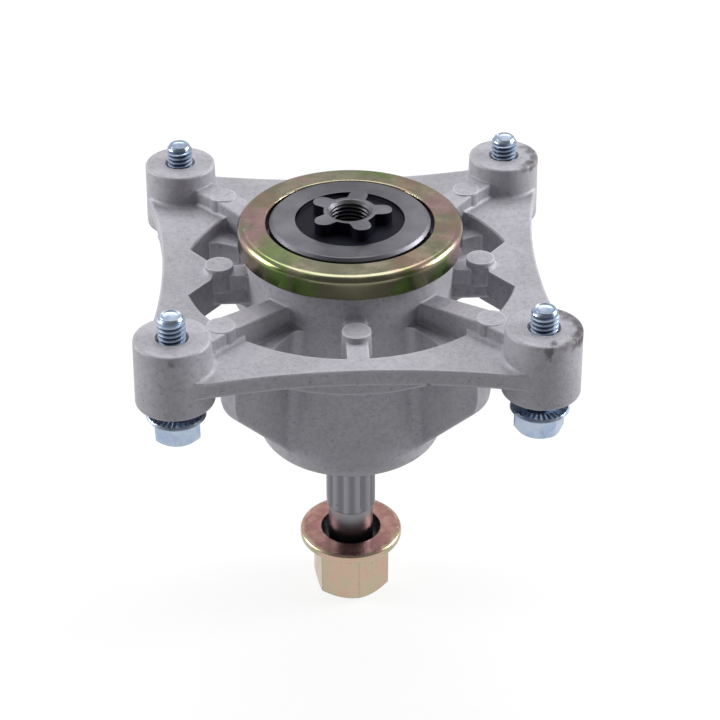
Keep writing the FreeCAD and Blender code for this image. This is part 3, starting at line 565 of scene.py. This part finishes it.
# One pitch of the rolled thread: radius, and share of the pitch
SCREW_THREAD = [(SCREW_ROOT_R, 0.0), (SCREW_ROOT_R - 0.05 * MM, 0.12), (SCREW_ROOT_R, 0.24),
                (SCREW_R - 0.14 * MM, 0.50), (SCREW_R, 0.58), (SCREW_R, 0.66),
                (SCREW_R - 0.14 * MM, 0.74), (SCREW_ROOT_R, 1.0)]
# Steps from the last thread in to the middle of the dished tip: share of the width, and rise in mm
DISH_STEPS = [(0.96, 0.12), (0.9, 0.0), (0.88, -0.3), (0.92, -0.08), (0.5, -0.04)]
SERRATIONS = 30
SERRATION_DEPTH = 0.4 * MM
VALLEY_Z = SEAT_Z - SERRATION_DEPTH
FLANGE_R = 8.55 * MM
TOOTH_IN_R = 5.4 * MM
TOOTH_OUT_R = FLANGE_R - 0.4 * MM
TOOTH_SLACK = 0.01 * MM
# Half of the flange's section, out along the valleys, round the rim and back: radius and height
FLANGE_SECTION = [(3.2 * MM, VALLEY_Z), (5.0 * MM, VALLEY_Z), (TOOTH_IN_R, VALLEY_Z),
                  (TOOTH_OUT_R, VALLEY_Z), (FLANGE_R - 0.25 * MM, VALLEY_Z - 0.04 * MM),
                  (FLANGE_R - 0.05 * MM, SEAT_Z - 0.9 * MM), (FLANGE_R, SEAT_Z - 1.05 * MM),
                  (FLANGE_R - 0.15 * MM, SEAT_Z - 1.25 * MM), (6.6 * MM, SEAT_Z - 1.75 * MM),
                  (3.2 * MM, SEAT_Z - 1.8 * MM)]
HEX_FLATS = 12.7 * MM
HEAD_FOOT_Z = -12.05 * MM
HEAD_CORNER = 0.25 * MM
HEAD_LONG_SIDE = 1.0 * MM
HEAD_SIDE_CUTS = 9
HEAD_RISES_MM = (0.1, 0.15, 0.2, 0.25, 0.3, 5.5)
HEAD_FOOT_INSET = 0.35 * MM
HEAD_FOOT_SLOPE = 1.3
ZINC_BLUE = (0.34, 0.43, 0.58, 1)
ZINC_WHITE = (0.46, 0.53, 0.64, 1)
ZINC_SHADE = (0.22, 0.24, 0.27, 1)
ZINC_GROOVE_SHADE = (0.09, 0.115, 0.17, 1)
ZINC_ROUGHNESS = (0.24, 0.36)
ZINC_CLOUD = 3.5 * MM
ZINC_CLOUD_SPAN = (0.35, 0.65)
ZINC_STREAK = 2.5 * MM
ZINC_STREAK_STRETCH = (1, 1, 0.5)
ZINC_STREAK_SPAN = (0.55, 0.75, 0.0, 0.35)
# Where the painted shade in the thread's grooves lies: its depth, and how near the tip it stops
GROOVE_DEPTH = (SCREW_R - 0.15 * MM, SCREW_ROOT_R + 0.1 * MM, 0.0, 0.85)
GROOVE_TOP = (SCREW_TIP_Z - 2.6 * MM, SCREW_TIP_Z - 2.0 * MM, 1.0, 0.0)


def add_outline(form, points, closed=False):
    """A row of edges in the upright plane of the X axis, from radii and heights."""
    corners = [form.verts.new((radius, 0, height)) for radius, height in points]
    ends = corners[1:] + corners[:1] if closed else corners[1:]
    return [form.edges.new(pair) for pair in zip(corners, ends)]


def new_parts(made, kind):
    """The vertices, edges or faces that an operator has just made."""
    return [part for part in made["geom"] if isinstance(part, kind)]


def move_end(form, face, share, rise, keep=False):
    """Extrudes an end face, scaled about the axis and raised; the old face goes, unless kept."""
    made = bmesh.ops.extrude_face_region(form, geom=[face])
    corners = new_parts(made, bmesh.types.BMVert)
    end = new_parts(made, bmesh.types.BMFace)[0]
    bmesh.ops.scale(form, verts=corners, vec=(share, share, 1))
    bmesh.ops.translate(form, verts=corners, vec=(0, 0, rise))
    if not keep:
        bmesh.ops.delete(form, geom=[face], context="FACES_ONLY")
    return end


def turn_down(form, limit_at):
    """Brings every corner in to the largest radius that limit_at allows at its height."""
    for corner in form.verts:
        radius = math.hypot(corner.co.x, corner.co.y)
        limit = limit_at(corner.co.z)
        if radius > limit:
            corner.co.x *= limit / radius
            corner.co.y *= limit / radius


def add_thread(form, points, pitch, foot_z, top_z):
    """A helical thread from the outline of one pitch, cut off level at both ends."""
    first_z = foot_z - pitch
    outline = add_outline(form, [(radius, first_z + share * pitch) for radius, share in points])
    turns = math.ceil((top_z - first_z) / pitch) + 1
    bmesh.ops.spin(form, geom=outline, cent=(0, 0, 0), axis=(0, 0, 1), angle=2 * math.pi * turns,
                   steps=turns * THREAD_STEPS, dvec=(0, 0, pitch / THREAD_STEPS))
    bmesh.ops.remove_doubles(form, verts=form.verts, dist=THREAD_WELD)
    for height, side in ((foot_z, -1), (top_z, 1)):
        everything = form.verts[:] + form.edges[:] + form.faces[:]
        bmesh.ops.bisect_plane(form, geom=everything, plane_co=(0, 0, height),
                               plane_no=(0, 0, side), clear_outer=True)


def open_edges(form):
    """The edges round every hole of a form."""
    return [edge for edge in form.edges if edge.is_boundary]


def taper_at(height):
    """Largest radius of the screw's tapered tip."""
    share = (SCREW_TIP_Z - height) / SCREW_TAPER
    return SCREW_TIP_R + (SCREW_R - SCREW_TIP_R) * min(share, 1.0)


def screw_shank():
    """Threaded shank with a tapered end that is dished in the middle."""
    form = bmesh.new()
    add_thread(form, SCREW_THREAD, SCREW_PITCH, THREAD_FOOT_Z, THREAD_TOP_Z)
    turn_down(form, taper_at)
    ends = bmesh.ops.holes_fill(form, edges=open_edges(form), sides=0)["faces"]
    end = max(ends, key=lambda face: face.calc_center_median().z)
    for share, rise in DISH_STEPS:
        end = move_end(form, end, share, rise * MM)
    return form


def screw_flange():
    """Round flange with radial serrations on its upper face: every other ridge is raised."""
    form = bmesh.new()
    section = add_outline(form, FLANGE_SECTION, closed=True)
    bmesh.ops.spin(form, geom=section, cent=(0, 0, 0), axis=(0, 0, 1), angle=2 * math.pi,
                   steps=2 * SERRATIONS, use_merge=True)
    step_angle = math.pi / SERRATIONS
    ridges = [corner for corner in form.verts
              if TOOTH_IN_R - TOOTH_SLACK < corner.co.to_2d().length < TOOTH_OUT_R + TOOTH_SLACK
              and corner.co.z > VALLEY_Z - TOOTH_SLACK
              and round(math.atan2(corner.co.y, corner.co.x) / step_angle) % 2 == 0]
    bmesh.ops.translate(form, verts=ridges, vec=(0, 0, SERRATION_DEPTH))
    return form


def chamfer_at(height):
    """Largest radius of the head, whose foot is turned off at a slant."""
    return HEX_FLATS / 2 - HEAD_FOOT_INSET + HEAD_FOOT_SLOPE * (height - HEAD_FOOT_Z)


def screw_head(turn_deg):
    """Hexagonal head with rounded edges, whose lower corners are turned off at a slant."""
    form = bmesh.new()
    bmesh.ops.create_circle(form, segments=6, radius=HEX_FLATS / math.sqrt(3), cap_ends=True)
    turn = Matrix.Rotation(math.radians(turn_deg - 90), 3, "Z")
    bmesh.ops.rotate(form, verts=form.verts, cent=(0, 0, 0), matrix=turn)
    bmesh.ops.bevel(form, geom=form.verts[:], offset=HEAD_CORNER, affect="VERTICES", segments=2,
                    profile=0.5, material=-1)
    sides = [edge for edge in form.edges if edge.calc_length() > HEAD_LONG_SIDE]
    bmesh.ops.subdivide_edges(form, edges=sides, cuts=HEAD_SIDE_CUTS)
    bmesh.ops.translate(form, verts=form.verts, vec=(0, 0, HEAD_FOOT_Z))
    end = form.faces[:][0]
    for number, rise in enumerate(HEAD_RISES_MM):
        end = move_end(form, end, 1.0, rise * MM, keep=number == 0)
    turn_down(form, chamfer_at)
    return form


def finish_mesh(name, forms, centre, finish, smooth_deg):
    """Joins bmesh forms into one piece at centre, facing outwards, with its material."""
    whole = bmesh.new()
    for form in forms:
        bmesh.ops.recalc_face_normals(form, faces=form.faces)
        part = bpy.data.meshes.new(name + "_part")
        form.to_mesh(part)
        form.free()
        whole.from_mesh(part)
        bpy.data.meshes.remove(part)
    bmesh.ops.translate(whole, verts=whole.verts, vec=centre)
    for face in whole.faces:
        face.smooth = True
    mesh = bpy.data.meshes.new(name)
    whole.to_mesh(mesh)
    whole.free()
    mesh.set_sharp_from_angle(angle=math.radians(smooth_deg))
    mesh.materials.append(finish)
    piece = bpy.data.objects.new(name, mesh)
    bpy.context.scene.collection.objects.link(piece)
    return piece


def blue_zinc():
    """Bright zinc with a blue tint and greyer streaks, and painted shade in the thread's grooves.
    """
    material, tree, shader, place = start_material("blue_zinc")
    cloud = noise(tree, place, ZINC_CLOUD, detail=3.0)
    drawn_out = add_node(tree, "Mapping", {"Vector": place, "Scale": ZINC_STREAK_STRETCH})
    streaks = noise(tree, drawn_out.outputs["Vector"], ZINC_STREAK, detail=4.0)
    # All four screws stand at the same distances from the middle, so one quarter serves for all
    quarter = add_node(tree, "VectorMath", {0: place}, operation="ABSOLUTE").outputs["Vector"]
    screw_axis = (SCREW_SQUARE / 2, SCREW_SQUARE / 2, 0)
    away = add_node(tree, "VectorMath", {0: quarter, 1: screw_axis}, operation="SUBTRACT")
    radius = radius_of(tree, away.outputs["Vector"])
    groove = within(tree, (radius, GROOVE_DEPTH), (height_of(tree, place), GROOVE_TOP))
    colour = lay_over(tree, cloud, ZINC_CLOUD_SPAN, ZINC_BLUE, ZINC_WHITE)
    colour = lay_over(tree, streaks, ZINC_STREAK_SPAN, colour, ZINC_SHADE)
    # The thread's grooves are darkened with painted shade
    colour = mix_colour(tree, groove, colour, ZINC_GROOVE_SHADE)
    set_inputs(tree, shader, {"Base Color": colour, "Metallic": 1.0,
                              "Roughness": spread(tree, cloud, *CLOUD_SPAN, *ZINC_ROUGHNESS)})
    return material


zinc = blue_zinc()
for place_name, (turn_deg, drop) in SCREW_PLACES.items():
    side = -1 if place_name.endswith("left") else 1
    depth = -1 if place_name.startswith("front") else 1
    centre = (side * SCREW_SQUARE / 2, depth * SCREW_SQUARE / 2, -drop * MM)
    forms = [screw_shank(), screw_flange(), screw_head(turn_deg)]
    screw = finish_mesh("screw_" + place_name, forms, centre, zinc, SCREW_SMOOTH_DEG)
    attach(screw, "housing")
    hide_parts("deck_screw_" + place_name)


# Blade bolt thread
# The thread cut into the shaft's blade end for the blade bolt, half an inch wide with twenty turns
# to the inch. It runs the length of the hole, a little short of the mouth.
BOLT_PITCH = 25.4 * MM / 20
BOLT_CREST_R = 5.45 * MM
BOLT_ROOT_R = 5.85 * MM
BOLT_BACK_R = 6.1 * MM
BOLT_FOOT_Z = 6.0 * MM
BOLT_TOP_Z = 29.2 * MM
BOLT_SMOOTH_DEG = 30
# One pitch of the thread: radius, and share of the pitch
BOLT_THREAD = [(BOLT_ROOT_R, 0.0), (BOLT_CREST_R, 0.42), (BOLT_CREST_R, 0.58), (BOLT_ROOT_R, 1.0)]
bolt_thread = bmesh.new()
add_thread(bolt_thread, BOLT_THREAD, BOLT_PITCH, BOLT_FOOT_Z, BOLT_TOP_Z)
# Both ends reach out into the steel, where a plain wall joins them and closes the piece
reach = bmesh.ops.extrude_edge_only(bolt_thread, edges=open_edges(bolt_thread))
for corner in new_parts(reach, bmesh.types.BMVert):
    corner.co.xy *= BOLT_BACK_R / corner.co.to_2d().length
bmesh.ops.bridge_loops(bolt_thread, edges=open_edges(bolt_thread))
thread_piece = finish_mesh("blade_bolt_thread", [bolt_thread], (0, 0, 0), ground, BOLT_SMOOTH_DEG)
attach(thread_piece, "spindle")


# Floor, light and camera
# A white sweep under the object, a broad soft light above it, two at its sides and a pale room,
# seen from the front and above.
FLOOR_GAP = 0.2 * MM
FLOOR_WIDTH = 4.0
FLOOR_GLOW = 0.85
FLOOR_GREY = (0.5, 0.5, 0.5, 1)
FLOOR_WHITE = (0.92, 0.92, 0.92, 1)
WHITE = (1, 1, 1, 1)
# Place and width in metres, and power in watts, of each light
LIGHTS = {"light_above": ((0.0, 0.45, 1.0), 0.8, 7.2),
          "light_left": ((-0.95, 0.15, 0.30), 0.5, 7.5),
          "light_right": ((0.95, 0.15, 0.35), 0.5, 11.0)}
# The room grows paler from the front, at -1, to the back, at 1: its light, and its look in gloss
ROOM_LIGHT_SPAN = (-0.7, 0.5, 0.19, 0.40)
ROOM_SHINE_SPAN = (-0.6, 0.2, 0.05, 0.75)
CAMERA_PLACE = (-0.0242, -0.5307, 0.3258)
CAMERA_LOOKS = (0.0428, 0.8354, -0.5479)
CAMERA_LENS_MM = 102.7
CAMERA_SENSOR_MM = 36.0


def white_sweep():
    """White floor that keeps the object's shadow and looks white to the camera and in gloss."""
    material = bpy.data.materials.new("white_sweep")
    material.use_nodes = True
    tree = material.node_tree
    tree.nodes.remove(tree.nodes["Principled BSDF"])
    rays = add_node(tree, "LightPath", {}).outputs
    seen = maths(tree, "MAXIMUM", rays["Is Camera Ray"], rays["Is Glossy Ray"])
    seen = maths(tree, "MAXIMUM", seen, rays["Is Transmission Ray"])
    colour = mix_colour(tree, seen, FLOOR_GREY, FLOOR_WHITE)
    matte = add_node(tree, "BsdfDiffuse", {"Color": colour}).outputs[0]
    glow = add_node(tree, "Emission", {"Color": WHITE, "Strength": 1.0}).outputs[0]
    share = product(tree, seen, FLOOR_GLOW)
    mixed = add_node(tree, "MixShader", {0: share, 1: matte, 2: glow}).outputs[0]
    set_inputs(tree, tree.nodes["Material Output"], {"Surface": mixed})
    return material


floor_mesh = bpy.data.meshes.new("floor")
floor_form = bmesh.new()
bmesh.ops.create_grid(floor_form, x_segments=1, y_segments=1, size=FLOOR_WIDTH / 2)
bmesh.ops.translate(floor_form, verts=floor_form.verts, vec=(0, 0, cad_low.z - FLOOR_GAP))
floor_form.to_mesh(floor_mesh)
floor_form.free()
floor_mesh.materials.append(white_sweep())
floor = bpy.data.objects.new("floor", floor_mesh)
bpy.context.scene.collection.objects.link(floor)


def turn_towards(direction):
    """Turn of a light or camera that faces along a direction."""
    return direction.to_track_quat("-Z", "Y").to_euler()


for name, (place, size, power) in LIGHTS.items():
    light = bpy.data.lights.new(name, "AREA")
    light.shape = "SQUARE"
    light.size = size
    light.energy = power
    lamp = bpy.data.objects.new(name, light)
    lamp.location = place
    lamp.rotation_euler = turn_towards(Vector((0, 0, 0)) - Vector(place))
    bpy.context.scene.collection.objects.link(lamp)

world = bpy.data.worlds.new("pale_room")
bpy.context.scene.world = world
world.use_nodes = True
room = world.node_tree
direction = add_node(room, "TexCoord", {}).outputs["Generated"]
backward = add_node(room, "SeparateXYZ", {"Vector": direction}).outputs["Y"]
rays = add_node(room, "LightPath", {}).outputs
shine = product(room, rays["Is Glossy Ray"], spread(room, backward, *ROOM_SHINE_SPAN))
strength = maths(room, "MAXIMUM", spread(room, backward, *ROOM_LIGHT_SPAN), shine)
seen = maths(room, "MAXIMUM", rays["Is Camera Ray"], rays["Is Transmission Ray"])
strength = maths(room, "MAXIMUM", strength, seen)
set_inputs(room, room.nodes["Background"], {"Color": WHITE, "Strength": strength})

camera_data = bpy.data.cameras.new("camera")
camera_data.sensor_width = CAMERA_SENSOR_MM
camera_data.lens = CAMERA_LENS_MM
camera = bpy.data.objects.new("camera", camera_data)
camera.location = CAMERA_PLACE
camera.rotation_euler = turn_towards(Vector(CAMERA_LOOKS))
bpy.context.scene.collection.objects.link(camera)
bpy.context.scene.camera = camera
bpy.context.scene.view_settings.view_transform = "Standard"
